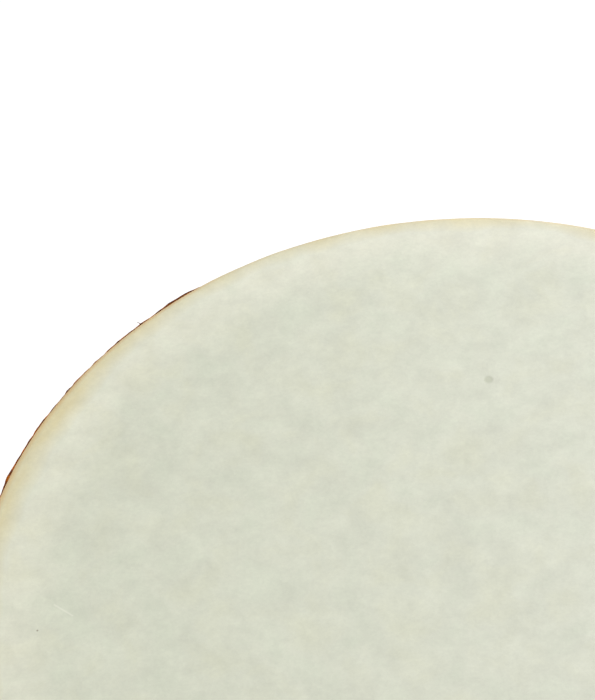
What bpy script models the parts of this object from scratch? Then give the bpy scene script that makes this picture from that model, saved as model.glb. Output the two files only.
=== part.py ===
import math

import bmesh
import bpy
from mathutils import Matrix, Vector

# A floor-standing tube drum: a cloth-covered wood-fibre tube on three legs, with a pre-tuned head.
# Metres, +Z up, with the origin on the floor at the middle of the drum.

# Overall sizes: 14 inches over the cloth, 25 inches from floor to head
overall_diameter = 0.3556
overall_height = 0.635

# Clearance between pieces that are glued, pressed or stacked, and round a screw in its hole
seat_gap = 0.0003

# Drum head: a flat film that rolls over the rim and runs down under the cloth as a collar
head_thickness = 0.0005
head_roll_radius = 0.004
head_collar_depth = 0.022

# Cloth cover, glued to the shell: it steps in where the collar under it ends
cover_thickness = 0.0008
cover_edge_drop = 0.0002
cover_step_fall = 0.006

# Shell, the main tube, and the ring inside its top that the head bears on
wall_thickness = 0.006
bearing_ring_width = 0.011
bearing_ring_height = 0.038
bearing_crest_width = 0.003
bearing_slope_drop = 0.005

# Legs, left standing between arches that are cut from the shell's bottom edge
leg_count = 3
leg_angle = math.radians(48)
first_leg_azimuth = math.radians(90)
arch_height = 0.048
arch_corner_radius = 0.026

# Rubber shoe on each leg
shoe_floor = 0.005
shoe_lip = 0.003
shoe_end_wall = 0.003
shoe_outer_height = 0.022
shoe_inner_height = 0.016
shoe_edge = 0.0012

# Base board that closes the air chamber, with the ring and gasket that it is screwed up against
board_setback = 0.009
board_thickness = 0.012
board_edge_gap = 0.0005
base_gasket_thickness = 0.002
base_ring_width = 0.014
base_ring_height = 0.025

# Port: the air tube that stands on the base board, in the moulded flange that holds it
port_bore_radius = 0.050
port_tube_wall = 0.0035
port_tube_length = 0.200
port_mouth_flare = 0.010
port_mouth_height = 0.010
port_collar_wall = 0.003
port_collar_height = 0.028
port_plate_width = 0.019
port_plate_thickness = 0.004
port_gasket_thickness = 0.0015

# Pan-head screws: the bite is how far the tip goes into the piece that the screw is driven into
base_screw_count = 8
base_screw_shank = 0.0020
base_screw_head = 0.0042
base_screw_head_height = 0.0026
base_screw_bite = 0.015
port_screw_count = 6
port_screw_shank = 0.0016
port_screw_head = 0.0036
port_screw_head_height = 0.0022
port_screw_bite = 0.008
foot_screws_per_leg = 2
foot_screw_spacing = 0.086
foot_screw_shank = 0.0016
foot_screw_head = 0.0038
foot_screw_head_height = 0.0022
foot_screw_bite = 0.004
pilot_extra_depth = 0.001

# Shapes of a screw's crown and point, as shares of its head's height and its shank's radius
screw_crown = 0.6
screw_point = 0.4

# Facets round a large ring, a port ring, a screw and a quarter-round, and the angle that stays sharp
ring_steps = 72
port_steps = 48
screw_steps = 8
quarter_steps = 4
sharp_angle = math.radians(35)

# How far a cutter runs past what it cuts, how near points weld, and the most of its wall that a fillet takes
cutter_margin = 0.006
weld_distance = 0.00001
fillet_limit = 0.9

# Radii, worked inwards from the outside of the cloth
cover_top_outer = overall_diameter / 2
cover_top_inner = cover_top_outer - cover_thickness
collar_outer = cover_top_inner - seat_gap
collar_inner = collar_outer - head_thickness
shell_outer = collar_inner - seat_gap
shell_inner = shell_outer - wall_thickness
cover_low_inner = shell_outer + seat_gap
cover_low_outer = cover_low_inner + cover_thickness
roll_centre_radius = collar_outer - head_roll_radius
inner_ring_outer = shell_inner - seat_gap
bearing_ring_inner = inner_ring_outer - bearing_ring_width
base_ring_inner = inner_ring_outer - base_ring_width
board_radius = shell_inner - board_edge_gap

# Heights of the top end
roll_centre_height = overall_height - head_roll_radius
head_underside = overall_height - head_thickness
head_inner_roll = head_roll_radius - head_thickness
shell_top = head_underside - seat_gap
shell_roll = head_inner_roll - seat_gap
collar_bottom = overall_height - head_collar_depth

# Heights of the foot end
shell_bottom = shoe_floor + seat_gap
arch_top = shell_bottom + arch_height
board_bottom = arch_top + board_setback
board_top = board_bottom + board_thickness
base_gasket_bottom = board_top + seat_gap
base_gasket_top = base_gasket_bottom + base_gasket_thickness
base_ring_bottom = base_gasket_top + seat_gap

# The slot in a shoe that takes the leg and its cloth
slot_inner = shell_inner - seat_gap
slot_outer = cover_low_outer + seat_gap
shoe_inner = slot_inner - shoe_lip
shoe_outer = slot_outer + shoe_lip
slot_half_angle = leg_angle / 2 + seat_gap / shell_outer
shoe_half_angle = slot_half_angle + shoe_end_wall / shell_outer

# Port radii and heights
port_tube_outer = port_bore_radius + port_tube_wall
port_collar_inner = port_tube_outer + seat_gap
port_collar_outer = port_collar_inner + port_collar_wall
board_hole_radius = port_collar_outer + seat_gap
port_plate_radius = board_hole_radius + port_plate_width
port_gasket_top = board_bottom - seat_gap
port_gasket_bottom = port_gasket_top - port_gasket_thickness
port_plate_top = port_gasket_bottom - seat_gap
port_plate_bottom = port_plate_top - port_plate_thickness
port_seat = port_plate_bottom + port_mouth_height
port_tube_bottom = port_seat + seat_gap

# Where the screws stand: their circles, their seats and the heights that their tips reach
base_screw_circle = (base_ring_inner + inner_ring_outer) / 2
base_screw_seat = board_bottom - seat_gap
base_screw_length = base_ring_bottom + base_screw_bite - base_screw_seat
port_screw_circle = (board_hole_radius + port_plate_radius) / 2
port_screw_seat = port_plate_bottom - seat_gap
port_screw_length = board_bottom + port_screw_bite - port_screw_seat
foot_screw_height = (shell_bottom + shoe_outer_height) / 2
foot_screw_seat = shoe_outer + seat_gap
foot_screw_length = foot_screw_seat - shell_outer + foot_screw_bite


def clear_scene():
    for old in list(bpy.data.objects):
        bpy.data.objects.remove(old)


def new_collection(name):
    made = bpy.data.collections.new(name)
    bpy.context.scene.collection.children.link(made)
    return made


clear_scene()
parts = new_collection("tube_drum")
cutters = new_collection("cutters")


def new_material(name, colour, roughness, metallic=0.0):
    made = bpy.data.materials.new(name)
    made.use_nodes = True
    shader = made.node_tree.nodes["Principled BSDF"]
    shader.inputs["Base Color"].default_value = (*colour, 1.0)
    shader.inputs["Roughness"].default_value = roughness
    shader.inputs["Metallic"].default_value = metallic
    return made


def add_part(name, mesh, material):
    mesh.materials.append(material)
    made = bpy.data.objects.new(name, mesh)
    parts.objects.link(made)
    return made


def add_cutter(name, mesh):
    made = bpy.data.objects.new(name, mesh)
    cutters.objects.link(made)
    made.hide_render = True
    made.display_type = "WIRE"
    return made


def evaluated_mesh(obj):
    bpy.context.view_layer.update()
    graph = bpy.context.evaluated_depsgraph_get()
    return bpy.data.meshes.new_from_object(obj.evaluated_get(graph))


def shade(mesh):
    mesh.shade_smooth()
    mesh.set_sharp_from_angle(angle=sharp_angle)


# Applies a part's modifiers, once all its cuts are made
def finish(obj):
    mesh = evaluated_mesh(obj)
    obj.modifiers.clear()
    obj.data = mesh
    shade(mesh)


# Points along a quarter of an ellipse, between two angles in degrees
def quarter(centre_x, centre_z, radius_x, radius_z, start, end):
    points = []
    for step in range(quarter_steps + 1):
        angle = math.radians(start + (end - start) * step / quarter_steps)
        points.append((centre_x + radius_x * math.cos(angle), centre_z + radius_z * math.sin(angle)))
    return points


# The edges of a half-section, as (radius, height) points that run down its outer side.
# A section that ends on the axis is left open there, and any other is closed.
def section_mesh(name, section):
    mesh = bpy.data.meshes.new(name)
    edges = [(i, i + 1) for i in range(len(section) - 1)]
    if section[-1][0] > 0.0:
        edges.append((len(section) - 1, 0))
    mesh.from_pydata([(radius, 0.0, height) for radius, height in section], edges, [])
    return mesh


def turn(obj, steps):
    screw = obj.modifiers.new("turn", "SCREW")
    screw.axis = "Z"
    screw.angle = math.tau
    screw.steps = steps
    screw.render_steps = steps
    screw.use_merge_vertices = True
    screw.merge_threshold = weld_distance
    return obj


def turned_part(name, section, steps, material):
    return turn(add_part(name, section_mesh(name, section), material), steps)


# A plain ring that stands on the given height
def ring_part(name, inner, outer, bottom, height, steps, material):
    section = [(inner, height), (outer, height), (outer, 0.0), (inner, 0.0)]
    made = turned_part(name, section, steps, material)
    made.location.z = bottom
    return made


def combine(target, other, operation="DIFFERENCE"):
    modifier = target.modifiers.new(other.name, "BOOLEAN")
    modifier.operation = operation
    modifier.object = other
    modifier.solver = "EXACT"


# A cutter whose sides lie on planes through the drum's axis. Its outline (x across, z up) is drawn on the
# upright plane that touches the shell, and widens with its distance from the axis.
def radial_cutter(name, outline, azimuth, inner_radius, outer_radius):
    widest = max(abs(x) for x, z in outline) / shell_outer
    near = inner_radius / math.hypot(1.0, widest)
    curve = bpy.data.curves.new(name, "CURVE")
    curve.dimensions = "2D"
    curve.fill_mode = "BOTH"
    curve.extrude = (outer_radius - near) / 2
    spline = curve.splines.new("POLY")
    spline.points.add(len(outline) - 1)
    for point, (x, z) in zip(spline.points, outline):
        point.co = (x, z, 0.0, 1.0)
    spline.use_cyclic_u = True
    flat = bpy.data.objects.new(name, curve)
    cutters.objects.link(flat)
    mesh = evaluated_mesh(flat)
    bpy.data.objects.remove(flat)
    for vertex in mesh.vertices:
        x, z, depth = vertex.co
        distance = (outer_radius + near) / 2 - depth
        vertex.co = (x * distance / shell_outer, -distance, z)
    shape = bmesh.new()
    shape.from_mesh(mesh)
    bmesh.ops.remove_doubles(shape, verts=shape.verts, dist=weld_distance)
    bmesh.ops.recalc_face_normals(shape, faces=shape.faces)
    shape.to_mesh(mesh)
    shape.free()
    made = add_cutter(name, mesh)
    made.rotation_euler.z = azimuth + math.pi / 2
    return made


# Straight rods along each seat's +Z, as one cutter for a set of screw holes
def hole_cutter(name, seats, radius, depth):
    shape = bmesh.new()
    for seat in seats:
        bmesh.ops.create_cone(
            shape,
            cap_ends=True,
            segments=screw_steps,
            radius1=radius,
            radius2=radius,
            depth=depth,
            matrix=seat @ Matrix.Translation((0.0, 0.0, depth / 2)),
        )
    mesh = bpy.data.meshes.new(name)
    shape.to_mesh(mesh)
    shape.free()
    return add_cutter(name, mesh)


# Pan-head screws whose heads seat at each placement's origin and whose shanks run along its +Z
def add_screws(name, seats, shank, head, head_height, length, material):
    crown = head_height * screw_crown
    section = [
        (0.0, length),
        (shank * screw_point, length),
        (shank, length - shank),
        (shank, 0.0),
        (head, 0.0),
        (head, crown - head_height),
        (head - crown, -head_height),
        (0.0, -head_height),
    ]
    pattern = turned_part(name, section, screw_steps, material)
    mesh = evaluated_mesh(pattern)
    bpy.data.objects.remove(pattern)
    shade(mesh)
    for index, seat in enumerate(seats):
        made = bpy.data.objects.new(f"{name}_{index + 1}", mesh)
        parts.objects.link(made)
        made.matrix_world = seat


def drill(pieces, name, seats, shank, length):
    holes = hole_cutter(name, seats, shank + seat_gap, length + pilot_extra_depth)
    for piece in pieces:
        combine(piece, holes)


def leg_azimuth(index):
    return first_leg_azimuth + math.tau * index / leg_count


# Upright seats on a circle round the drum's axis
def circle_seats(count, radius, height):
    seats = []
    for index in range(count):
        turn_by = Matrix.Rotation(math.tau * index / count, 4, "Z")
        seats.append(turn_by @ Matrix.Translation((radius, 0.0, height)))
    return seats


# Seats on the outside of the shoes, whose +Z points in at the drum's axis
def foot_seats():
    seats = []
    inwards = Vector((-1.0, 0.0, 0.0)).to_track_quat("Z", "Y").to_matrix().to_4x4()
    for leg in range(leg_count):
        for index in range(foot_screws_per_leg):
            along = (index - (foot_screws_per_leg - 1) / 2) * foot_screw_spacing
            turn_by = Matrix.Rotation(leg_azimuth(leg) + along / shell_outer, 4, "Z")
            place = Matrix.Translation((foot_screw_seat, 0.0, foot_screw_height))
            seats.append(turn_by @ place @ inwards)
    return seats


# Half the width of a slice of the shell, on the upright plane that touches it
def half_width(half_angle):
    return shell_outer * math.tan(half_angle)


# An arch between two legs: open below, with rounded upper corners
def arch_outline():
    half = half_width(math.pi / leg_count - leg_angle / 2)
    radius = min(arch_corner_radius, half * fillet_limit, arch_height * fillet_limit)
    right = quarter(half - radius, arch_top - radius, radius, radius, 0, 90)
    left = quarter(radius - half, arch_top - radius, radius, radius, 90, 180)
    below = -cutter_margin
    return [(half, below)] + right + left + [(-half, below)]


def block_outline(half_angle):
    half = half_width(half_angle)
    low = -cutter_margin
    high = shoe_outer_height + 2 * cutter_margin
    return [(half, low), (half, high), (-half, high), (-half, low)]


def build_head(film):
    section = [(0.0, overall_height)]
    section += quarter(roll_centre_radius, roll_centre_height, head_roll_radius, head_roll_radius, 90, 0)
    section += [(collar_outer, collar_bottom), (collar_inner, collar_bottom)]
    section += quarter(roll_centre_radius, roll_centre_height, head_inner_roll, head_inner_roll, 0, 90)
    section += [(0.0, head_underside)]
    turned_part("drum_head", section, ring_steps, film)


def build_shell(wood_fibre):
    section = [(shell_inner, shell_top)]
    section += quarter(roll_centre_radius, roll_centre_height, shell_roll, shell_roll, 90, 0)
    section += [(shell_outer, shell_bottom), (shell_inner, shell_bottom)]
    return turned_part("shell_tube", section, ring_steps, wood_fibre)


def build_cover(cloth):
    top = roll_centre_height - cover_edge_drop
    step_top = collar_bottom - seat_gap
    step_bottom = step_top - cover_step_fall
    section = [
        (cover_top_inner, top),
        (cover_top_outer, top),
        (cover_top_outer, step_top),
        (cover_low_outer, step_bottom),
        (cover_low_outer, shell_bottom),
        (cover_low_inner, shell_bottom),
        (cover_low_inner, step_bottom),
        (cover_top_inner, step_top),
    ]
    return turned_part("cloth_cover", section, ring_steps, cloth)


def build_bearing_ring(wood):
    low = shell_top - bearing_ring_height
    section = [
        (bearing_ring_inner, shell_top - bearing_slope_drop),
        (inner_ring_outer - bearing_crest_width, shell_top),
        (inner_ring_outer, shell_top),
        (inner_ring_outer, low),
        (bearing_ring_inner, low),
    ]
    turned_part("bearing_ring", section, ring_steps, wood)


def cut_arches(pieces):
    for index in range(leg_count):
        azimuth = leg_azimuth(index) + math.pi / leg_count
        inner = shoe_inner - cutter_margin
        outer = shoe_outer + cutter_margin
        arch = radial_cutter(f"arch_{index + 1}", arch_outline(), azimuth, inner, outer)
        for piece in pieces:
            combine(piece, arch)


# A shoe is a slice of a turned channel: its two lips hold the leg from inside and outside
def build_shoe(index, rubber):
    number = index + 1
    section = [
        (shoe_inner + shoe_edge, shoe_inner_height),
        (slot_inner, shoe_inner_height),
        (slot_outer, shoe_outer_height),
        (shoe_outer - shoe_edge, shoe_outer_height),
        (shoe_outer, shoe_outer_height - shoe_edge),
        (shoe_outer, shoe_edge),
        (shoe_outer - shoe_edge, 0.0),
        (shoe_inner + shoe_edge, 0.0),
        (shoe_inner, shoe_edge),
        (shoe_inner, shoe_inner_height - shoe_edge),
    ]
    shoe = turned_part(f"rubber_shoe_{number}", section, ring_steps, rubber)
    azimuth = leg_azimuth(index)
    inner = shoe_inner - cutter_margin
    outer = shoe_outer + cutter_margin
    span = radial_cutter(f"shoe_span_{number}", block_outline(shoe_half_angle), azimuth, inner, outer)
    combine(shoe, span, "INTERSECT")
    slot_top = shoe_outer_height + cutter_margin
    slot_section = [
        (slot_inner, slot_top),
        (slot_outer, slot_top),
        (slot_outer, shoe_floor),
        (slot_inner, shoe_floor),
    ]
    slot = turn(add_cutter(f"slot_{number}", section_mesh("slot", slot_section)), ring_steps)
    slot_span = radial_cutter(f"slot_span_{number}", block_outline(slot_half_angle), azimuth, inner, outer)
    combine(slot, slot_span, "INTERSECT")
    combine(shoe, slot)
    return shoe


def build_base(plywood, foam, wood):
    board = ring_part(
        "base_board", board_hole_radius, board_radius, board_bottom, board_thickness, ring_steps, plywood
    )
    gasket = ring_part(
        "base_gasket", base_ring_inner, board_radius, base_gasket_bottom, base_gasket_thickness,
        ring_steps, foam,
    )
    ring = ring_part(
        "base_ring", base_ring_inner, inner_ring_outer, base_ring_bottom, base_ring_height, ring_steps, wood
    )
    return board, gasket, ring


def build_port_flange(plastic):
    collar_top = port_seat + port_collar_height
    mouth = port_bore_radius + port_mouth_flare
    section = [
        (port_collar_inner, collar_top),
        (port_collar_outer, collar_top),
        (port_collar_outer, port_plate_top),
        (port_plate_radius, port_plate_top),
        (port_plate_radius, port_plate_bottom),
    ]
    section += quarter(mouth, port_seat, port_mouth_flare, port_mouth_height, 270, 180)
    section += [(port_collar_inner, port_seat)]
    return turned_part("port_flange", section, port_steps, plastic)


def main():
    head_film = new_material("head_film", (0.70, 0.72, 0.60), 0.55)
    wood_fibre = new_material("wood_fibre", (0.20, 0.11, 0.06), 0.7)
    woven_cloth = new_material("woven_cloth", (0.26, 0.10, 0.04), 0.8)
    pale_wood = new_material("pale_wood", (0.55, 0.42, 0.26), 0.65)
    plywood = new_material("plywood", (0.45, 0.30, 0.17), 0.6)
    moulded_plastic = new_material("moulded_plastic", (0.02, 0.02, 0.02), 0.45)
    wound_card = new_material("wound_card", (0.12, 0.08, 0.05), 0.75)
    foam = new_material("foam", (0.05, 0.05, 0.05), 0.95)
    rubber = new_material("rubber", (0.015, 0.015, 0.015), 0.7)
    steel = new_material("steel", (0.55, 0.55, 0.56), 0.3, 1.0)

    build_head(head_film)
    shell = build_shell(wood_fibre)
    cover = build_cover(woven_cloth)
    build_bearing_ring(pale_wood)
    cut_arches([shell, cover])
    shoes = [build_shoe(index, rubber) for index in range(leg_count)]
    board, base_gasket, base_ring = build_base(plywood, foam, pale_wood)

    flange = build_port_flange(moulded_plastic)
    port_gasket = ring_part(
        "port_gasket", board_hole_radius, port_plate_radius, port_gasket_bottom, port_gasket_thickness,
        port_steps, foam,
    )
    ring_part(
        "port_tube", port_bore_radius, port_tube_outer, port_tube_bottom, port_tube_length,
        port_steps, wound_card,
    )

    # Base screws go up through the board and its gasket into the ring
    seats = circle_seats(base_screw_count, base_screw_circle, base_screw_seat)
    drill([board, base_gasket, base_ring], "base_screw_holes", seats, base_screw_shank, base_screw_length)

    # Port screws go up through the flange and its gasket into the board
    port_seats = circle_seats(port_screw_count, port_screw_circle, port_screw_seat)
    drill([flange, port_gasket, board], "port_screw_holes", port_seats, port_screw_shank, port_screw_length)

    # Foot screws go in through the outer lip of a shoe and the cloth into the shell
    shoe_seats = foot_seats()
    drill([shell, cover, *shoes], "foot_screw_holes", shoe_seats, foot_screw_shank, foot_screw_length)

    for piece in list(parts.objects):
        finish(piece)
    add_screws(
        "base_screw", seats, base_screw_shank, base_screw_head, base_screw_head_height,
        base_screw_length, steel,
    )
    add_screws(
        "port_screw", port_seats, port_screw_shank, port_screw_head, port_screw_head_height,
        port_screw_length, steel,
    )
    add_screws(
        "foot_screw", shoe_seats, foot_screw_shank, foot_screw_head, foot_screw_head_height,
        foot_screw_length, steel,
    )


main()
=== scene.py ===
import random
from functools import partial
from math import atan, atan2, cos, exp, pi, radians, sin, tan, tau

import bmesh
import bpy
from mathutils import Matrix, Vector, noise


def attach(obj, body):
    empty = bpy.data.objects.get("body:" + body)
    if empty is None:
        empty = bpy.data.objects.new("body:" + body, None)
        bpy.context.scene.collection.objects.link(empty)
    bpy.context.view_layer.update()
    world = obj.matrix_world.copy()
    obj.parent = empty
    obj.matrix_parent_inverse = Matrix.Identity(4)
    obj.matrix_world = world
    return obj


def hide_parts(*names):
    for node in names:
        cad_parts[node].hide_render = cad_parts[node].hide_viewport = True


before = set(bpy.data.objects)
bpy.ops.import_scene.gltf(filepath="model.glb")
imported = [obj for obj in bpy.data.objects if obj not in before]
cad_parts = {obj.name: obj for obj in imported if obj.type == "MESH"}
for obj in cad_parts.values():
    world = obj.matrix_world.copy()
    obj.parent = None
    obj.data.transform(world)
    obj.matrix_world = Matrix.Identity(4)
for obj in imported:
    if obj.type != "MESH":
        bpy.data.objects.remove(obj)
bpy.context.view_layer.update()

scene = bpy.context.scene
scene.view_settings.view_transform = "Standard"

# The drum's main sizes, in metres, as in the CAD
drum = {
    "shellOuter": 0.1759,
    "shellInner": 0.1699,
    "shellBottom": 0.0053,
    "thirds": 3,
    "archHalf": radians(36),
    "archTop": 0.0533,
    "archCorner": 0.026,
    "cornerSteps": 14,
    "headTop": 0.635,
    "rollRadius": 0.1727,
    "rollHeight": 0.6310,
    "legTurns": [radians(90), radians(210), radians(330)],
}
third = tau / drum["thirds"]
tiny = 0.00001  # points closer than this count as touching


# Mesh helpers

def clamp(value):
    return min(1, max(0, value))


def ease(value):
    share = clamp(value)
    return share * share * (3 - 2 * share)


def awayFromAxis(place):
    return Vector((place.x, place.y, 0)).normalized()


def newPiece(name, shape, material, sharp=35):
    mesh = bpy.data.meshes.new(name)
    shape.to_mesh(mesh)
    shape.free()
    mesh.materials.append(material)
    mesh.shade_smooth()
    mesh.set_sharp_from_angle(angle=radians(sharp))
    piece = bpy.data.objects.new(name, mesh)
    scene.collection.objects.link(piece)
    return piece


def closeUp(shape, gap=0.000002):
    bmesh.ops.remove_doubles(shape, verts=shape.verts, dist=gap)
    bmesh.ops.recalc_face_normals(shape, faces=shape.faces)


def arcPoints(centreX, centreZ, radius, start, end, steps):
    turns = [radians(start + (end - start) * i / steps) for i in range(steps + 1)]
    return [(centreX + radius * cos(turn), centreZ + radius * sin(turn)) for turn in turns]


# Spins a half-section of (radius, height) points round the drum's axis
def lathe(section, steps, closed=True, sweep=tau, start=0.0):
    shape = bmesh.new()
    points = [shape.verts.new((x * cos(start), x * sin(start), z)) for x, z in section]
    edges = [shape.edges.new(pair) for pair in zip(points, points[1:])]
    if closed:
        edges.append(shape.edges.new((points[-1], points[0])))
    full = sweep > tau - 0.001
    bmesh.ops.spin(shape, geom=points + edges, axis=(0, 0, 1), cent=(0, 0, 0), steps=steps, angle=sweep,
                   use_merge=full)
    if not full:
        bmesh.ops.holes_fill(shape, edges=[e for e in shape.edges if e.is_boundary])
    closeUp(shape)
    return shape


def squareRing(inner, outer, bottom, top, steps, **arc):
    return lathe([(inner, bottom), (outer, bottom), (outer, top), (inner, top)], steps, **arc)


def roundEdges(shape, width, segments=3, angle=40, keep=lambda edge: True):
    limit = radians(angle)
    hard = [e for e in shape.edges if len(e.link_faces) == 2 and e.calc_face_angle() > limit and keep(e)]
    bmesh.ops.bevel(shape, geom=hard, offset=width, segments=segments, profile=0.5, affect="EDGES",
                    material=-1, clamp_overlap=True)
    bmesh.ops.recalc_face_normals(shape, faces=shape.faces)


# Gives a flat shape a second side, a step away from the first
def thicken(shape, step):
    grown = bmesh.ops.extrude_face_region(shape, geom=shape.faces[:])["geom"]
    bmesh.ops.translate(shape, verts=[g for g in grown if isinstance(g, bmesh.types.BMVert)], vec=step)


def cutAcross(shape, places, normal):
    for place in places:
        bmesh.ops.bisect_plane(shape, geom=shape.verts[:] + shape.edges[:] + shape.faces[:], dist=0.0000005,
                               plane_co=Vector(normal) * place, plane_no=normal)


def addShape(target, shape, place=Matrix.Identity(4)):
    mesh = bpy.data.meshes.new("loose")
    shape.to_mesh(mesh)
    shape.free()
    mesh.transform(place)
    target.from_mesh(mesh)
    bpy.data.meshes.remove(mesh)


# One third of the tube is drawn flat on the upright plane that touches it, with its arch, and then wrapped.
# Across the plane is x, outwards is -y and up is z. Returns the three thirds as one closed sleeve.
def wrappedSleeve(high, inner, outer, columns, rows, edgeRadius=0.0, topRadius=0.0, stepOut=lambda height: 0.0):
    wall, low = drum["shellOuter"], drum["shellBottom"]
    reach, half = wall * tan(third / 2), wall * tan(drum["archHalf"])
    flat = bmesh.new()
    outline = [(-reach, low), (-half, low), (-half, drum["archTop"]), (half, drum["archTop"]),
               (half, low), (reach, low), (reach, high), (-reach, high)]
    points = [flat.verts.new((x, 0, z)) for x, z in outline]
    flat.faces.new(points)
    bmesh.ops.bevel(flat, geom=[points[2], points[3]], offset=drum["archCorner"], segments=drum["cornerSteps"],
                    profile=0.5, affect="VERTICES", material=-1)
    thicken(flat, (0, inner - outer, 0))
    bmesh.ops.translate(flat, verts=flat.verts, vec=(0, wall - inner, 0))
    bmesh.ops.recalc_face_normals(flat, faces=flat.faces)
    ends = [f for f in flat.faces if abs(abs(f.calc_center_median().x) - reach) < tiny]
    bmesh.ops.delete(flat, geom=ends, context="FACES_ONLY")
    if edgeRadius:
        roundEdges(flat, edgeRadius, 3, 40, lambda e: all(v.co.z < high - 0.001 for v in e.verts))
    if topRadius:
        front = wall - outer
        rim = [e for e in flat.edges if all(v.co.z > high - tiny and abs(v.co.y - front) < tiny for v in e.verts)]
        bmesh.ops.bevel(flat, geom=rim, offset=topRadius, segments=6, profile=0.5, affect="EDGES", material=-1)
    cutAcross(flat, [wall * tan(third * (i / columns - 0.5)) for i in range(1, columns)], (1, 0, 0))
    cutAcross(flat, rows, (0, 0, 1))
    for v in flat.verts:
        turn = atan(v.co.x / wall)
        radius = wall - v.co.y + stepOut(v.co.z)
        v.co = (radius * sin(turn), -radius * cos(turn), v.co.z)
    sleeve = bmesh.new()
    for index in range(drum["thirds"]):
        addShape(sleeve, flat.copy(), Matrix.Rotation(third * index, 4, "Z"))
    flat.free()
    closeUp(sleeve, tiny)
    return sleeve


# Material helpers: newMaterial begins a material, and the others add their nodes to the one begun last

bench = {}


def paint(red, green, blue):
    def linear(value):
        value /= 255
        return value / 12.92 if value <= 0.04045 else ((value + 0.055) / 1.055) ** 2.4
    return linear(red), linear(green), linear(blue), 1.0


def plug(value, socket):
    if isinstance(value, bpy.types.NodeSocket):
        bench["tree"].links.new(value, socket)
    else:
        socket.default_value = value


def feed(name, value):
    plug(value, bench["shader"].inputs[name])


def newMaterial(name, sockets):
    material = bpy.data.materials.new(name)
    material.use_nodes = True
    bench["tree"] = material.node_tree
    bench["shader"] = material.node_tree.nodes["Principled BSDF"]
    for socket, value in sockets.items():
        feed(socket, value)
    return material


def addNode(kind, inputs=None, **settings):
    node = bench["tree"].nodes.new("ShaderNode" + kind)
    for name, value in settings.items():
        setattr(node, name, value)
    for name, value in (inputs or {}).items():
        plug(value, node.inputs[name])
    return node


def maths(operation, first, second=0.0):
    return addNode("Math", {0: first, 1: second}, operation=operation).outputs[0]


plus, minus, times, divide = [partial(maths, operation) for operation in ("ADD", "SUBTRACT", "MULTIPLY", "DIVIDE")]


def vectorMaths(operation, first, second=(0, 0, 0), output="Value"):
    return addNode("VectorMath", {0: first, 1: second}, operation=operation).outputs[output]


def objectPoint():
    return addNode("TexCoord").outputs["Object"]


def scaled(point, scale=(1, 1, 1), shift=(0, 0, 0)):
    return addNode("Mapping", {"Vector": point, "Scale": scale, "Location": shift}).outputs[0]


def split(point):
    return addNode("SeparateXYZ", {0: point}).outputs[:]


def joined(x, y, z=0.0):
    return addNode("CombineXYZ", {0: x, 1: y, 2: z}).outputs[0]


def radiusOf(x, y):
    return vectorMaths("LENGTH", joined(x, y))


def attribute(name):
    return addNode("Attribute", attribute_name=name).outputs["Fac"]


def cloud(point, scale, detail=2.0, rough=0.5, distort=0.0):
    return addNode("TexNoise", {"Vector": point, "Scale": scale, "Detail": detail, "Roughness": rough,
                                "Distortion": distort}).outputs["Fac"]


def spread(value, low, high, newLow=0.0, newHigh=1.0, smooth=False):
    kind = "SMOOTHSTEP" if smooth else "LINEAR"
    return addNode("MapRange", {"Value": value, "From Min": low, "From Max": high, "To Min": newLow,
                                "To Max": newHigh}, interpolation_type=kind).outputs[0]


def blendColours(share, first, second, how="MIX"):
    return addNode("Mix", {"Factor": share, 6: first, 7: second}, data_type="RGBA", blend_type=how).outputs[2]


def shaded(colour, amount):
    grey = addNode("CombineColor", {0: amount, 1: amount, 2: amount}).outputs[0]
    return blendColours(1.0, colour, grey, "MULTIPLY")


def colourSteps(value, steps):
    node = addNode("ValToRGB", {"Fac": value})
    ramp = node.color_ramp
    while len(ramp.elements) < len(steps):
        ramp.elements.new(0.5)
    for element, (place, colour) in zip(ramp.elements, steps):
        element.position = place
        element.color = colour
    return node.outputs["Color"]


def roughFrom(value, first, second):
    feed("Roughness", spread(value, 0.3, 0.7, first, second))


def bumpFrom(height, distance, strength, before=None):
    inputs = {"Height": height, "Distance": distance, "Strength": strength}
    if before:
        inputs["Normal"] = before
    bump = addNode("Bump", inputs).outputs[0]
    feed("Normal", bump)
    return bump


# 1 for what the camera sees, also in metal or through glass, and 0 for the light that falls on other things
def seenStraight():
    rays = addNode("LightPath").outputs
    return maths("MAXIMUM", maths("MAXIMUM", rays["Is Camera Ray"], rays["Is Glossy Ray"]),
                 rays["Is Transmission Ray"])


# 1 on the fine butt line that climbs a tube wound in a spiral, and 0 away from it
def buttLine(x, y, z, pitch, width):
    around = divide(maths("ARCTAN2", y, x), tau)
    climb = minus(divide(z, pitch), around)
    across = maths("ABSOLUTE", minus(maths("FRACT", climb), 0.5))
    return spread(across, 0.0, width, 1, 0, True)


# Camera, lamps and floor

camera = {
    "lens": 128.57,
    "sensor": 36,
    "clip": (0.01, 50),
    "target": (-0.055008, 0.116135, 0.632),
    "distance": 0.94282,
    "elevation": 0.867469,
    "roll": -0.08344,
}
tilt, roll = camera["elevation"], camera["roll"]
back = Vector((0, -cos(tilt), sin(tilt)))
right, up = Vector((1, 0, 0)), Vector((0, sin(tilt), cos(tilt)))
axes = Matrix((right * cos(roll) + up * sin(roll), up * cos(roll) - right * sin(roll), back))
eye = bpy.data.cameras.new("camera")
eye.lens = camera["lens"]
eye.sensor_width = camera["sensor"]
eye.clip_start, eye.clip_end = camera["clip"]
cameraObject = bpy.data.objects.new("camera", eye)
cameraPlace = Vector(camera["target"]) + back * camera["distance"]
cameraObject.matrix_world = Matrix.Translation(cameraPlace) @ axes.transposed().to_4x4()
scene.collection.objects.link(cameraObject)
scene.camera = cameraObject

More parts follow.
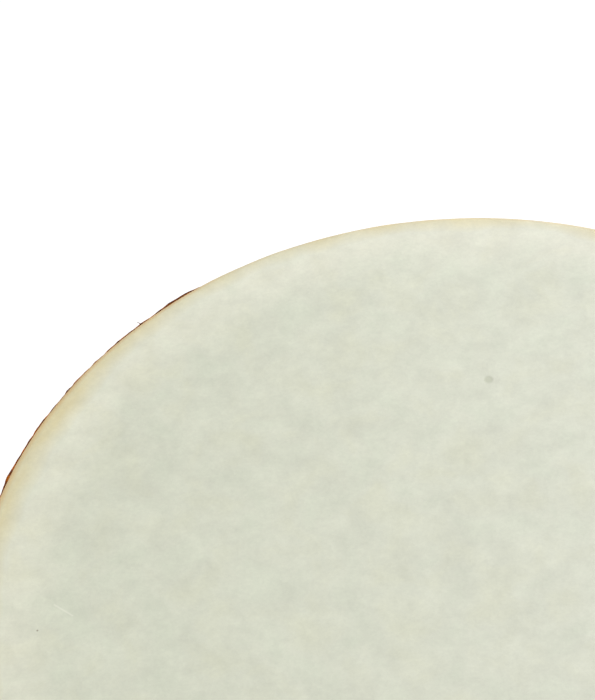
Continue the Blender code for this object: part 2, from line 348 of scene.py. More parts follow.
lamps = {
    "key": {"place": (1.10, 0.80, 1.70), "aim": (0, 0.05, 0.5), "size": 1.2, "power": 22.6},
    "fill": {"place": (-1.6, -1.9, 1.9), "aim": (0, 0, 0.35), "size": 2.2, "power": 19},
    "side": {"place": (2.2, -1.4, 1.2), "aim": (0, 0, 0.3), "size": 1.8, "power": 10.5},
    "left": {"place": (-1.9, 0.2, 1.0), "aim": (0, 0, 0.5), "size": 1.2, "power": 5},
}
for name, lamp in lamps.items():
    light = bpy.data.lights.new(name, "AREA")
    light.shape = "DISK"
    light.size = lamp["size"]
    light.energy = lamp["power"]
    lampObject = bpy.data.objects.new(name, light)
    toLamp = (Vector(lamp["place"]) - Vector(lamp["aim"])).to_track_quat("Z", "Y")
    lampObject.matrix_world = Matrix.Translation(lamp["place"]) @ toLamp.to_matrix().to_4x4()
    scene.collection.objects.link(lampObject)

room = {
    "ambient": 0.4,
    "seen": 1.0,
    "floorSize": 30,
    "floorColour": (0.86, 0.86, 0.86, 1),
    "glowFrom": 0.9,
    "glowTo": 3.5,
    "nearGlow": 0.34,
    "farGlow": 0.68,
}
world = bpy.data.worlds.new("room")
world.use_nodes = True
scene.world = world
bench["tree"] = world.node_tree
backdrop = world.node_tree.nodes["Background"]
plug(spread(seenStraight(), 0, 1, room["ambient"], room["seen"]), backdrop.inputs["Strength"])
plug((1, 1, 1, 1), backdrop.inputs["Color"])

# The floor adds a glow for the camera alone, so that it is white where no shadow falls, and it is see-through
# from below
floorMaterial = newMaterial("paleFloor", {})
matt = addNode("BsdfDiffuse", {"Color": room["floorColour"]}).outputs[0]
glow = spread(vectorMaths("LENGTH", objectPoint()), room["glowFrom"], room["glowTo"], room["nearGlow"],
              room["farGlow"], True)
extra = addNode("Emission", {"Strength": times(seenStraight(), glow)}).outputs[0]
lit = addNode("AddShader", {0: matt, 1: extra}).outputs[0]
clear = addNode("BsdfTransparent").outputs[0]
under = addNode("NewGeometry").outputs["Backfacing"]
both = addNode("MixShader", {0: under, 1: lit, 2: clear}).outputs[0]
plug(both, bench["tree"].nodes["Material Output"].inputs["Surface"])
bench["tree"].nodes.remove(bench["shader"])
shape = bmesh.new()
bmesh.ops.create_grid(shape, x_segments=1, y_segments=1, size=room["floorSize"] / 2)
floor = newPiece("floor", shape, floorMaterial)
print("camera, lamps and floor made")


# The head: a pale film with a faintly cloudy face, rolled over the rim. A fade is the pair of radii, or of
# distances from a mark, between which a colour comes in

head = {
    "steps": 256,
    "thickness": 0.0005,
    "outerRoll": 0.0040,
    "collarBottom": 0.613,
    "flatRings": [0.030, 0.060, 0.090, 0.115, 0.135, 0.150, 0.158, 0.164, 0.168, 0.1705, 0.1720],
    "rollSteps": 10,
    "rollWaver": 0.000308,
    "waverRadius": 0.1724,
    "waverReach": 0.003,
    "waverHeight": 0.622,
    "waverRise": 0.008,
    "middle": paint(217, 219, 202),
    "ringBand": paint(227, 227, 210),
    "ringFade": (0.146, 0.1618),
    "warmBand": paint(222, 211, 171),
    "warmFade": (0.1660, 0.1730),
    "bandWaver": 0.0018,
    "bandReach": (-0.0018, 0.0011),
    # The turned edge's tan, peach and brown are partly painted light reflected from the cloth and painted light
    # lifting the roll's shade
    "tanEdge": paint(224, 186, 128),
    "peachPaintedLight": paint(238, 206, 148),
    "tanFade": (0.1732, 0.1756),
    "brownClothReflection": paint(166, 104, 36),
    "farEdge": paint(112, 110, 102),
    "brownFade": (0.1751, 0.1761),
    "broadSide": (cos(radians(160)), sin(radians(160)), 0),
    # Painted light across the head: darker and warmer on the left, lighter and bluer on the right
    "leftPaintedShade": (0.988, 0.994, 0.970, 1),
    "rightPaintedLight": (1.004, 1.003, 1.014, 1),
    "broadShade": (-0.082, 0.082, 0.635),
    "shadeFade": (0.015, 0.085),
    "dimple": (0.0144, 0.0916, 0.635),
    "dimpleFade": (0.00095, 0.00228),
    # The dent's darker colour is painted shade
    "dimpleColour": paint(196, 199, 179),
    "speck": (-0.1526, -0.0032, 0.635),
    "speckFade": (0.0002, 0.0005),
    "speckColour": paint(120, 104, 84),
    "scratch": ((-0.1467, 0.0070, 0.635), (-0.1404, 0.0018, 0.635)),
    "scratchFade": (0.0001, 0.0005),
    "scratchColour": paint(238, 238, 222),
    "roughness": 0.55,
}


def filmMaterial():
    material = newMaterial("cloudyFilm", {"Roughness": head["roughness"], "IOR": 1.5, "Specular IOR Level": 0.3})
    point = objectPoint()
    x, y, z = split(point)
    radius = radiusOf(x, y)
    waver = spread(cloud(point, 38, 2), 0.3, 0.7, -head["bandWaver"], head["bandWaver"])
    # The wall and the ring below show through, and reach further in on the broad side than elsewhere
    side = divide(vectorMaths("DOT_PRODUCT", point, head["broadSide"]), radius)
    seen = plus(plus(radius, waver), spread(side, 0.78, 0.98, *head["bandReach"], True))
    film = blendColours(spread(seen, *head["ringFade"]), head["middle"], head["ringBand"])
    patchy = spread(cloud(point, 62, 3, 0.6, 0.6), 0.34, 0.62, 0.70, 0.94)
    film = blendColours(times(spread(seen, *head["warmFade"]), patchy), film, head["warmBand"])
    # Painted warm light on the turned edge: tan, partly the wall showing through and partly light reflected from
    # the cloth, peach painted light lifting the roll's shade in the middle of the broad side, brown painted
    # reflection of the cloth on its flanks, and olive grey beyond them
    warmEdgeLight = times(spread(side, 0.70, 0.83, 0.30, 1.0, True), spread(cloud(point, 150, 2), 0.35, 0.6, 0.75, 1.0))
    central = spread(side, 0.96, 0.99, 0, 1, True)
    film = blendColours(times(spread(radius, *head["tanFade"]), warmEdgeLight), film,
                        blendColours(central, head["tanEdge"], head["peachPaintedLight"]))
    brown = times(warmEdgeLight, spread(central, 0, 1, 1, 0.15))
    film = blendColours(times(spread(radius, *head["brownFade"]), brown), film,
                        blendColours(spread(side, 0.70, 0.83), head["farEdge"], head["brownClothReflection"]))
    # Cloudy blotches, a broad shade on the left, a fine grain, drifts of tint, and painted light that leaves the
    # left side darker and warmer and the right side lighter
    blotch = spread(cloud(point, 95, 4, 0.55, 0.2), 0.30, 0.70, 0.950, 1.050)
    shade = spread(vectorMaths("DISTANCE", point, head["broadShade"]), *head["shadeFade"], 0.984, 1.0, True)
    grain = spread(cloud(point, 900, 2, 0.7), 0.25, 0.75, 0.965, 1.035)
    mottle = spread(cloud(point, 300, 3, 0.6), 0.30, 0.70, 0.972, 1.028)
    film = shaded(film, times(times(blotch, shade), times(grain, mottle)))
    drift = colourSteps(cloud(scaled(point, shift=(3.1, 1.7, 0)), 60, 3, 0.5, 0.4), [
        (0.30, (0.985, 1.0, 0.99, 1)), (0.50, (1, 1, 1, 1)), (0.70, (1.0, 0.995, 0.965, 1))])
    # Painted light, lighter to the right and darker to the left
    sideLightSlope = colourSteps(spread(x, -0.16, 0.05), [(0, head["leftPaintedShade"]), (1, head["rightPaintedLight"])])
    for tint in (drift, sideLightSlope):
        film = blendColours(1.0, film, tint, "MULTIPLY")
    # A small dent in the skin, its darker colour a painted shade, a scratch, and a dark speck near the edge
    dent, speck = [spread(vectorMaths("DISTANCE", point, head[mark]), *head[mark + "Fade"], strength, 0, True)
                   for mark, strength in (("dimple", 1), ("speck", 0.6))]
    start, end = (Vector(place) for place in head["scratch"])
    run = end - start
    offset = vectorMaths("SUBTRACT", point, start, "Vector")
    along = spread(vectorMaths("DOT_PRODUCT", offset, run / run.length_squared), 0, 1)
    nearest = addNode("VectorMath", {0: run, "Scale": along}, operation="SCALE").outputs[0]
    scratch = spread(vectorMaths("DISTANCE", offset, nearest), *head["scratchFade"], 0.5, 0, True)
    for share, mark in ((times(dent, 0.8), "dimple"), (scratch, "scratch"), (speck, "speck")):
        film = blendColours(share, film, head[mark + "Colour"])
    feed("Base Color", film)
    roughFrom(cloud(point, 120, 3), head["roughness"] - 0.05, head["roughness"] + 0.05)
    fine = bumpFrom(cloud(point, 1100, 2, 0.6), 0.00004, 0.35)
    wide = bumpFrom(cloud(point, 70, 2), 0.0004, 0.10, fine)
    bumpFrom(minus(1.0, dent), 0.0003, 0.6, wide)
    return material


def makeHead():
    top, bottom = drum["headTop"], drum["headTop"] - head["thickness"]
    inner = head["outerRoll"] - head["thickness"]
    wall = drum["rollRadius"] + head["outerRoll"]
    section = [(0, top)] + [(r, top) for r in head["flatRings"]]
    section += arcPoints(drum["rollRadius"], drum["rollHeight"], head["outerRoll"], 90, 0, head["rollSteps"])
    section += [(wall, head["collarBottom"]), (wall - head["thickness"], head["collarBottom"])]
    section += arcPoints(drum["rollRadius"], drum["rollHeight"], inner, 0, 90, head["rollSteps"])
    section += [(r, bottom) for r in reversed(head["flatRings"])] + [(0, bottom)]
    shape = lathe(section, head["steps"], closed=False)
    # The roll wavers a little round the rim, as a heat-set film does
    for v in shape.verts:
        beyond = v.co.xy.length - head["waverRadius"]
        if beyond > 0:
            way = awayFromAxis(v.co)
            share = min(1, beyond / head["waverReach"]) * clamp((v.co.z - head["waverHeight"]) / head["waverRise"])
            push = noise.noise(way * 4.0) * 0.7 + noise.noise(way * 13.0 + Vector((5, 0, 0))) * 0.5
            v.co += way * push * head["rollWaver"] * share
    piece = newPiece("headFilm", shape, filmMaterial(), 50)
    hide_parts("drum_head")
    return piece


headFilm = makeHead()
print("head made")


# Cloth cover: woven earth-coloured cloth with a raw, frayed top edge

cover = {
    "lowInner": 0.1762,
    "lowOuter": 0.1770,
    "step": 0.0008,
    "stepBottom": 0.6067,
    "stepTop": 0.6127,
    "middle": 0.1774,
    "top": 0.6306,
    "columns": 96,
    "rows": [0.012, 0.030, 0.054, 0.080, 0.120, 0.160, 0.200, 0.240, 0.280, 0.320, 0.360, 0.400, 0.440, 0.480,
             0.520, 0.560, 0.590, 0.603, 0.6067, 0.6082, 0.6097, 0.6112, 0.6127, 0.6145, 0.620, 0.6265, 0.6290,
             0.6298, 0.6302],
    "pinch": 0.00078,
    "pinchInside": 0.00026,
    "pressed": 0.0018,
    "edgeBand": 0.0001,
    "ripple": 0.00012,
    "lapWidth": 0.013,
    "lapBottom": 0.0225,
    "lapThickness": 0.0007,
    "lapLift": 0.00075,
    "lapDive": 0.004,
    "lapGrid": (13, 120),
    "lapWaver": 0.0004,
    "lapFray": 0.0002,
    "drift": 0.014,
    "threadPitch": 0.0009,
    "threadsAround": 1240,
    "feather": 0.0050,
    "lozenges": 9,
    "lozengeHeight": 0.150,
    "mottle": 0.25,
    "worn": 0.0011,
    "threadTwist": 0.0009,
    "darkBrown": paint(64, 36, 22),
    "brown": paint(104, 59, 32),
    "rust": paint(147, 79, 35),
    "tan": paint(188, 125, 58),
    "pale": paint(198, 160, 108),
    "paleCore": paint(205, 116, 12),
    "darkCore": paint(142, 72, 8),
    "knot": paint(88, 40, 8),
}


def dyeSteps(value, steps):
    return colourSteps(value, [(place, cover[dye]) for place, dye in steps])


# Height of a thread that is round across and dives at both ends of its float
def threadHeight(across, along):
    return times(maths("POWER", across, 0.6), spread(along, 0, 1, 0.35, 1.0))


# Dyed rings of lozenges on a dark ground, with a small lozenge where four large ones meet
def lozengePattern(around, height, tone):
    across = times(around, cover["lozenges"] / tau)
    rise = divide(height, cover["lozengeHeight"])
    slants = [times(maths("ABSOLUTE", minus(maths("FRACT", slant), 0.5)), 2)
              for slant in (plus(across, rise), minus(across, rise))]
    blur = spread(tone, 0.3, 0.7, -0.13, 0.13)
    ring, corner = [plus(maths(how, *slants), blur) for how in ("MAXIMUM", "MINIMUM")]
    large = dyeSteps(ring, [
        (0.11, "pale"), (0.14, "darkBrown"), (0.22, "darkBrown"), (0.25, "rust"), (0.43, "rust"), (0.46, "tan"),
        (0.51, "tan"), (0.54, "darkBrown"), (0.72, "darkBrown"), (0.75, "brown")])
    small = dyeSteps(corner, [(0.74, "darkBrown"), (0.77, "rust"), (0.88, "rust"), (0.91, "tan")])
    return blendColours(spread(corner, 0.70, 0.72), large, small)


# The colour of the cloth at a place on it, used by the weave and by the threads at its raw edge
def clothMaterial(name, woven=True):
    material = newMaterial(name, {"Roughness": 0.88, "Specular IOR Level": 0.2,
                                  "Sheen Weight": 0.25 if woven else 0.0, "Sheen Roughness": 0.5})
    point = objectPoint()
    x, y, z = split(point)
    around = maths("ARCTAN2", x, times(y, -1))
    warp, weft = times(around, cover["threadsAround"] / tau), divide(z, cover["threadPitch"])
    warpThread, weftThread = [addNode("TexWhiteNoise", {"W": maths("FLOOR", thread)},
                                      noise_dimensions="1D").outputs["Value"] for thread in (warp, weft)]
    # The pattern climbs a little round the drum, so it doesn't meet where the seam's lap ends. Each warp thread
    # was dyed on its own, so the pattern's edges feather up and down from thread to thread
    lapped = times(attribute("lap"), maths("GREATER_THAN", x, 0))
    slipped = plus(times(minus(divide(around, tau), lapped), cover["drift"]), z)
    slipped = plus(slipped, spread(warpThread, 0, 1, -cover["feather"], cover["feather"]))
    dyed = joined(x, y, slipped)
    tall = scaled(dyed, (1, 1, 0.22))
    streaks = cloud(tall, 100, 3, 0.55, 0.5)
    patches = cloud(scaled(dyed, (1, 1, 0.45), (4, 2, 1)), 22, 3, 0.55, 0.8)
    tone = plus(times(streaks, 0.72), times(patches, 0.28))
    mottled = dyeSteps(tone, [(0.36, "darkBrown"), (0.45, "brown"), (0.52, "rust"), (0.60, "tan"), (0.68, "pale")])
    ground = blendColours(cover["mottle"], lozengePattern(around, slipped, tone), mottled)
    # Warp threads run up the drum and weft threads round it, each a shade of its own
    warpWave, weftWave = [maths("SINE", times(thread, pi)) for thread in (warp, weft)]
    over = spread(times(warpWave, weftWave), -0.06, 0.06)
    slub = cloud(scaled(point, (1, 1, 0.06)), 900, 1)
    warpTone = shaded(ground, times(spread(slub, 0.3, 0.7, 0.80, 1.20), spread(warpThread, 0, 1, 0.82, 1.18)))
    weftTone = shaded(blendColours(0.55, ground, cover["darkBrown"]), spread(weftThread, 0, 1, 0.80, 1.25))
    # Here and there a weft thread thickens for a few centimetres
    thick = spread(cloud(joined(times(around, 2.6), times(weftThread, 90)), 1.0, 1), 0.70, 0.76)
    weftTone = blendColours(times(thick, 0.5), weftTone, cover["tan"])
    # Towards the raw top edge and the cut edge of the lap the threads are worn and show their rusty cores
    worn = spread(z, cover["top"] - cover["worn"], cover["top"] - cover["edgeBand"], 0, 0.95, True)
    worn = maths("MAXIMUM", worn, times(attribute("lapEdge"), 0.75))
    core = blendColours(spread(cloud(point, 330, 1), 0.40, 0.58), cover["darkCore"], cover["paleCore"])
    warpTone, weftTone = [blendColours(worn, thread, core) for thread in (warpTone, weftTone)]
    fuzz = bumpFrom(cloud(point, 2500, 2, 0.7), 0.0001, 0.5)
    if woven:
        warpRound, weftRound = [maths("ABSOLUTE", wave) for wave in (warpWave, weftWave)]
        weftHeight = plus(threadHeight(weftRound, warpRound), times(thick, 0.5))
        height = spread(over, 0, 1, weftHeight, threadHeight(warpRound, weftRound))
        # Where a thread dives under another it is painted darker, a painted shade between the threads
        woollen = shaded(blendColours(over, weftTone, warpTone), spread(height, 0.1, 0.7, 0.5, 1.05))
        lift = bumpFrom(height, 0.00025, 0.8, fuzz)
        bumpFrom(cloud(tall, 60, 2), 0.0006, 0.25, lift)
    else:
        # The twist is painted as lighter and darker stripes, painted light and shade on the thread's plies
        twist = plus(times(around, cover["lowOuter"] / cover["threadTwist"]), divide(z, cover["threadTwist"] * 0.6))
        twist = maths("SINE", times(twist, tau))
        knotted = blendColours(attribute("knot"), warpTone, cover["knot"])
        woollen = shaded(knotted, spread(twist, -1, 1, 0.8, 1.15))
    feed("Base Color", woollen)
    return material


# The raw edge was trimmed by hand. Lumps in it: the turn in degrees, half the width, and then how far it rises
# and stands out there, in metres. Knots: the turn, half the width, and how dark it is there, from 0 to 1
rawEdge = {
    "steps": 1440,
    "seed": 11,
    "lumps": [(157.4, 2.0, 0.0001, 0.00055), (151.5, 3.4, 0.0002, 0.00020), (140.0, 5.0, -0.0002, 0.0001),
              (137.0, 8.0, 0, -0.00009), (154.5, 4.0, -0.0001, 0.00022), (130.5, 2.5, 0, -0.00007),
              (124.0, 2.2, 0.0004, 0.00019), (136.2, 1.3, 0.0001, -0.00022), (132.0, 1.2, 0, 0.00007),
              (116.0, 4.0, -0.0005, -0.00016), (108.0, 5.0, -0.0004, -0.00016)],
    "knots": [(157.3, 0.6, 0.55), (152.0, 0.4, 0.1), (149.8, 0.35, 0.6), (148.7, 0.4, 0.5),
              (145.2, 0.3, 0.4), (143.3, 0.35, 1.0), (138.3, 0.35, 0.6), (134.2, 0.35, 0.9), (132.2, 0.3, 0.9),
              (130.0, 0.5, 0.3), (127.0, 0.5, 0.7), (125.2, 0.8, 1.0), (122.7, 0.9, 0.9)],
    "knotRise": 0.0001,
    "knotOut": 0.0002,
    "moreLumps": 14,
    "moreKnots": 34,
    "moreKnotOut": 0.0001,
    "rise": 0.0002,
    "highSide": (-0.64, 0.77, 0),
    "highRise": 0.0016,
    "lowSide": (0.09, 1.0, 0),
    "lowDrop": 0.0008,
    "waveRise": 0.00015,
    "waveOut": 0.00012,
    "fineScale": 75,
    "fineOut": 0.0003,
    "darkScale": 50,
    "fineDark": 1.0,
}


def makeEdgeTable():
    rng = random.Random(rawEdge["seed"])
    lumps = [(*lump, 0) for lump in rawEdge["lumps"]]
    lumps += [(rng.uniform(165, 470), rng.uniform(1.5, 4), rng.uniform(-0.0003, 0.0006), rng.uniform(0, 0.0005), 0)
              for index in range(rawEdge["moreLumps"])]
    lumps += [(place, width, rawEdge["knotRise"] * dark, rawEdge["knotOut"] * dark, dark)
              for place, width, dark in rawEdge["knots"]]
    for index in range(rawEdge["moreKnots"]):
        dark = rng.uniform(0.3, 1.0)
        lumps.append((rng.uniform(160, 470), rng.uniform(0.3, 1.2), rawEdge["knotRise"] * dark,
                      rawEdge["moreKnotOut"] * dark, dark))
    table = []
    for index in range(rawEdge["steps"]):
        turn = 360 * index / rawEdge["steps"]
        way = Vector((cos(radians(turn)), sin(radians(turn)), 0))
        high = max(0, way.dot(Vector(rawEdge["highSide"]))) ** 10
        low = max(0, way.dot(Vector(rawEdge["lowSide"]))) ** 4
        rise = rawEdge["rise"] + high * rawEdge["highRise"] - low * rawEdge["lowDrop"] + \
            noise.noise(way * 24) * rawEdge["waveRise"]
        push = noise.noise(way * 22 + Vector((2, 7, 1))) * rawEdge["waveOut"] + \
            noise.noise(way * rawEdge["fineScale"] + Vector((9, 1, 4))) * rawEdge["fineOut"]
        dark = max(0, noise.noise(way * rawEdge["darkScale"] + Vector((1, 3, 8)))) * rawEdge["fineDark"]
        for place, width, up, out, darkness in lumps:
            away = abs((turn - place + 180) % 360 - 180)
            near = exp(-(away / width) ** 2)
            rise, push, dark = rise + up * near, push + out * near, max(dark, darkness * near)
        table.append((rise, push, dark))
    return table


edgeTable = makeEdgeTable()


def edgeAt(way):
    place = (atan2(way.y, way.x) / tau % 1) * rawEdge["steps"]
    first = int(place) % rawEdge["steps"]
    share = place - int(place)
    return [a + (b - a) * share for a, b in zip(edgeTable[first], edgeTable[(first + 1) % rawEdge["steps"]])]


def makeCover():
    def stepOut(height):
        return cover["step"] * ease((height - cover["stepBottom"]) / (cover["stepTop"] - cover["stepBottom"]))
    sleeve = wrappedSleeve(cover["top"], cover["lowInner"], cover["lowOuter"], cover["columns"], cover["rows"],
                           stepOut=stepOut)
    # The lap of the seam stands over the middle of the back leg: a second layer that dives at one side
    sleeve.verts.layers.float.new("lap")
    sleeve.verts.layers.float.new("lapEdge")
    lap = bmesh.new()
    lapLayer, edgeLayer = lap.verts.layers.float.new("lap"), lap.verts.layers.float.new("lapEdge")
    bmesh.ops.create_grid(lap, x_segments=cover["lapGrid"][0], y_segments=cover["lapGrid"][1], size=0.5)
    bmesh.ops.scale(lap, verts=lap.verts, vec=(cover["lapWidth"], cover["top"] - cover["lapBottom"], 1))
    bmesh.ops.translate(lap, verts=lap.verts, vec=(0, (cover["top"] + cover["lapBottom"]) / 2, 0))
    thicken(lap, (0, 0, cover["lapThickness"]))
    for v in lap.verts:
        across, height, out = v.co
        v[lapLayer] = 1
        v[edgeLayer] = 1 if across > cover["lapWidth"] / 2 - cover["edgeBand"] else 0
        edge = noise.noise((0, height * 60, 0)) * cover["lapWaver"] + \
            noise.noise((3, height * 400, 0)) * cover["lapFray"]
        lift = cover["lapLift"] * ease((across + cover["lapWidth"] / 2) / cover["lapDive"])
        radius = cover["lowOuter"] + stepOut(height) + out - cover["lapThickness"] + lift
        turn = pi / 2 - (across + edge * v[edgeLayer]) / radius
        v.co = (radius * cos(turn), radius * sin(turn), height)
    bmesh.ops.recalc_face_normals(lap, faces=lap.faces)
    addShape(sleeve, lap)
    for v in sleeve.verts:
        # Slight unevenness, as cloth glued on by hand has
        way = awayFromAxis(v.co)
        place = Vector((v.co.x * 18, v.co.y * 18, v.co.z * 9))
        v.co += way * cover["ripple"] * (noise.noise(place) + 0.5)
        # The top edge is pressed down and glued
        pressed = clamp((v.co.z - cover["top"] + cover["pressed"]) / cover["pressed"])
        rise, push, dark = edgeAt(way)
        pinch = cover["pinch"] - push if v.co.xy.length > cover["middle"] else cover["pinchInside"]
        v.co -= way * pinch * pressed * pressed
        if v.co.z > cover["top"] - cover["edgeBand"]:
            v.co.z += rise - cover["edgeBand"]
    piece = newPiece("earthClothCover", sleeve, clothMaterial("earthCloth"), 40)
    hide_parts("cloth_cover")
    return piece


# Cut thread ends that stand in the raw top edge, and the last threads of the weft, which lie along it. Loose
# ends: the turn in degrees and how far the end trails round the drum
fray = {
    "pitch": 0.0009,
    "radius": 0.00020,
    "sides": 5,
    "long": 0.00025,
    "foot": 0.1769,
    "root": 0.0006,
    "seed": 11,
    "knotSwell": 0.5,
    "knotShade": 1.2,
    "loose": {129.9: 0.0012, 197: 0.0015, 20: 0.0016, 292: -0.0014},
    "looseLength": 0.0010,
    "looseRadius": 0.00018,
    "looseDark": 0.5,
    "weftSteps": 720,
    "weft": [{"radius": 0.17695, "below": 0.0, "thick": 0.00017, "shift": 0.0},
             {"radius": 0.17715, "below": 0.0005, "thick": 0.00019, "shift": 3.0}],
    "weftOut": 0.00005,
    "weftLift": 0.0001,
}


def makeFray():
    rng = random.Random(fray["seed"])
    count = int(tau * cover["middle"] / fray["pitch"])
    # One thread, a unit long and wide: three rings and a closed tip
    strand = bmesh.new()
    bmesh.ops.create_circle(strand, segments=fray["sides"], radius=1, cap_ends=False)
    edges = strand.edges[:]
    for height, thin in ((0.55, 0.95), (1.0, 0.5)):
        grown = bmesh.ops.extrude_edge_only(strand, edges=edges)["geom"]
        edges = [g for g in grown if isinstance(g, bmesh.types.BMEdge)]
        for v in [g for g in grown if isinstance(g, bmesh.types.BMVert)]:
            v.co = awayFromAxis(v.co) * thin + Vector((0, 0, height))
    bmesh.ops.contextual_create(strand, geom=edges)
    bmesh.ops.recalc_face_normals(strand, faces=strand.faces)
    size = len(strand.verts)
    threads = bmesh.new()
    for index in range(count):
        addShape(threads, strand.copy())
    strand.free()
    layer = threads.verts.layers.float.new("knot")
    verts = threads.verts[:]
    for index in range(count):
        turn = tau * (index + rng.uniform(-0.3, 0.3)) / count
        way = Vector((cos(turn), sin(turn), 0))
        side = Vector((-way.y, way.x, 0))
        rise, push, dark = edgeAt(way)
        clump = noise.noise(way * 14) + 0.7 * noise.noise(way * 45)
        length = fray["long"] * clamp(0.5 + clump) * rng.uniform(0.4, 1)
        lean = rng.uniform(-0.1, 0.5) * length
        drift = rng.uniform(-0.6, 0.6) * length
        radius = fray["radius"] * (1 + fray["knotSwell"] * dark) * rng.uniform(0.7, 1.1)
        for place, trail in fray["loose"].items():
            if abs(turn - radians(place)) < 0.5 * tau / count:
                length, lean, drift = fray["looseLength"], fray["looseLength"], trail
                radius, dark = fray["looseRadius"], fray["looseDark"]
        foot = way * (fray["foot"] + push + rng.uniform(-0.00005, 0.0001))
        foot += Vector((0, 0, cover["top"] + rise - fray["root"]))
        for v in verts[index * size:(index + 1) * size]:
            v[layer] = min(1, dark * fray["knotShade"] + rng.uniform(0, 0.15))
            share = v.co.z
            v.co = foot + way * (v.co.x * radius + lean * share * share) + \
                side * (v.co.y * radius + drift * share) + Vector((0, 0, (fray["root"] + length) * share))
    # The weft threads are spun as rings, a unit in radius and a tenth thick, and then follow the edge
    for weft in fray["weft"]:
        ring = lathe(arcPoints(1.0, 0.0, 0.1, 0, 300, 5), fray["weftSteps"])
        darkness = ring.verts.layers.float.new("knot")
        for v in ring.verts:
            way = awayFromAxis(v.co)
            rise, push, dark = edgeAt(way)
            out, lift = (v.co.xy.length - 1.0) * 10, v.co.z * 10
            sway = noise.noise(way * 30 + Vector((0, 0, weft["shift"])))
            thick = weft["thick"] * (1 + fray["knotSwell"] * dark + 0.3 * noise.noise(way * 60))
            v[darkness] = clamp(dark * fray["knotShade"] + 0.2 * sway)
            v.co = way * (weft["radius"] + push + fray["weftOut"] * sway + thick * out)
            v.co.z = cover["top"] + rise - weft["below"] + fray["weftLift"] * sway + thick * lift
        addShape(threads, ring)
    piece = newPiece("frayedThreads", threads, clothMaterial("earthThread", False), 60)
    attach(piece, "root")
    return piece


coverCloth = makeCover()
frayedThreads = makeFray()
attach(coverCloth, "root")
print("cloth cover made")

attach(headFilm, "root")


# Shell: a wound wood-fibre tube with routed arches

tube = {
    "top": 0.6342,
    "columns": 64,
    "rows": [0.0533, 0.15, 0.30, 0.45, 0.60],
    "routedEdge": 0.0016,
    "topRound": 0.0032,
    "pitch": 0.070,
    "layer": 0.0011,
    "fibreDark": paint(62, 42, 30),
    "fibreMiddle": paint(92, 64, 44),
    "fibreLight": paint(128, 96, 68),
    "buttColour": paint(40, 27, 19),
}


def fibreMaterial():
    material = newMaterial("woundFibre", {"Roughness": 0.6, "Specular IOR Level": 0.35})
    point = objectPoint()
    x, y, z = split(point)
    flecks = cloud(scaled(point, (1, 1, 2.2)), 420, 4, 0.65)
    fibre = colourSteps(plus(times(flecks, 0.75), times(cloud(point, 18, 2), 0.25)), [
        (0.36, tube["fibreDark"]), (0.52, tube["fibreMiddle"]), (0.68, tube["fibreLight"])])
    butt = buttLine(x, y, z, tube["pitch"], 0.007)
    layers = maths("SINE", times(radiusOf(x, y), tau / tube["layer"]))
    fibre = blendColours(spread(layers, 0.2, 1, 0, 0.28), fibre, tube["fibreDark"])
    feed("Base Color", blendColours(times(butt, 0.6), fibre, tube["buttColour"]))
    roughFrom(flecks, 0.68, 0.5)
    fine = bumpFrom(flecks, 0.0002, 0.4)
    bumpFrom(minus(1.0, butt), 0.0003, 0.5, fine)
    return material


shape = wrappedSleeve(tube["top"], drum["shellInner"], drum["shellOuter"], tube["columns"], tube["rows"],
                      tube["routedEdge"], tube["topRound"])
fibreShell = newPiece("fibreShell", shape, fibreMaterial(), 40)
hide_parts("shell_tube")
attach(fibreShell, "root")
print("shell made")


# Rubber shoes

def carve(shape, cutter):
    pair = []
    for name, part in (("solid", shape), ("cutter", cutter)):
        mesh = bpy.data.meshes.new(name)
        part.to_mesh(mesh)
        part.free()
        pair.append(bpy.data.objects.new(name, mesh))
        scene.collection.objects.link(pair[-1])
    cut = pair[0].modifiers.new("cut", "BOOLEAN")
    cut.object = pair[1]
    cut.operation = "DIFFERENCE"
    cut.solver = "EXACT"
    bpy.context.view_layer.update()
    made = bpy.data.meshes.new_from_object(pair[0].evaluated_get(bpy.context.evaluated_depsgraph_get()))
    carved = bmesh.new()
    carved.from_mesh(made)
    bpy.data.meshes.remove(made)
    for part in pair:
        bpy.data.meshes.remove(part.data)
    return carved


shoe = {
    "inner": 0.1666,
    "outer": 0.1803,
    "slotInner": 0.1696,
    "slotOuter": 0.1773,
    "slotTop": 0.03,
    "innerTop": 0.016,
    "outerTop": 0.022,
    "floor": 0.005,
    "half": radians(25.08),
    "slotHalf": radians(24.10),
    "moulded": 0.0011,
    "faceReach": 0.0002,
    "lipFrom": 0.010,
    "grooves": [0.1692, 0.1731, 0.1770],
    "grooveWidth": 0.0014,
    "grooveSlope": 0.0002,
    "grooveDepth": 0.0009,
    "steps": 40,
    "screwTurn": radians(14.0),
    "screwHeight": 0.01365,
    "screwSeat": 0.1806,
    "boss": [(0.0018, 0), (0.0050, 0), (0.0054, 0.0002), (0.0056, 0.0012), (0.0018, 0.0012)],
}


def rubberMaterial():
    material = newMaterial("shoeRubber", {"Roughness": 0.62, "Specular IOR Level": 0.4})
    point = objectPoint()
    dust = cloud(point, 70, 4, 0.6)
    colour = colourSteps(dust, [(0.35, paint(27, 27, 28)), (0.55, paint(34, 34, 34)), (0.75, paint(52, 50, 47))])
    # The lowest millimetres carry floor dust
    height = plus(split(point)[2], spread(dust, 0, 1, -0.002, 0.002))
    feed("Base Color", blendColours(spread(height, 0.0, 0.006, 0.4, 0.0, True), colour, paint(92, 87, 80)))
    roughFrom(dust, 0.55, 0.75)
    bumpFrom(cloud(point, 1500, 3, 0.6), 0.00008, 0.5)
    return material


def seatAt(turn):
    inwards = Vector((-1, 0, 0)).to_track_quat("Z", "Y").to_matrix().to_4x4()
    return Matrix.Rotation(turn, 4, "Z") @ Matrix.Translation((shoe["screwSeat"], 0, shoe["screwHeight"])) @ inwards


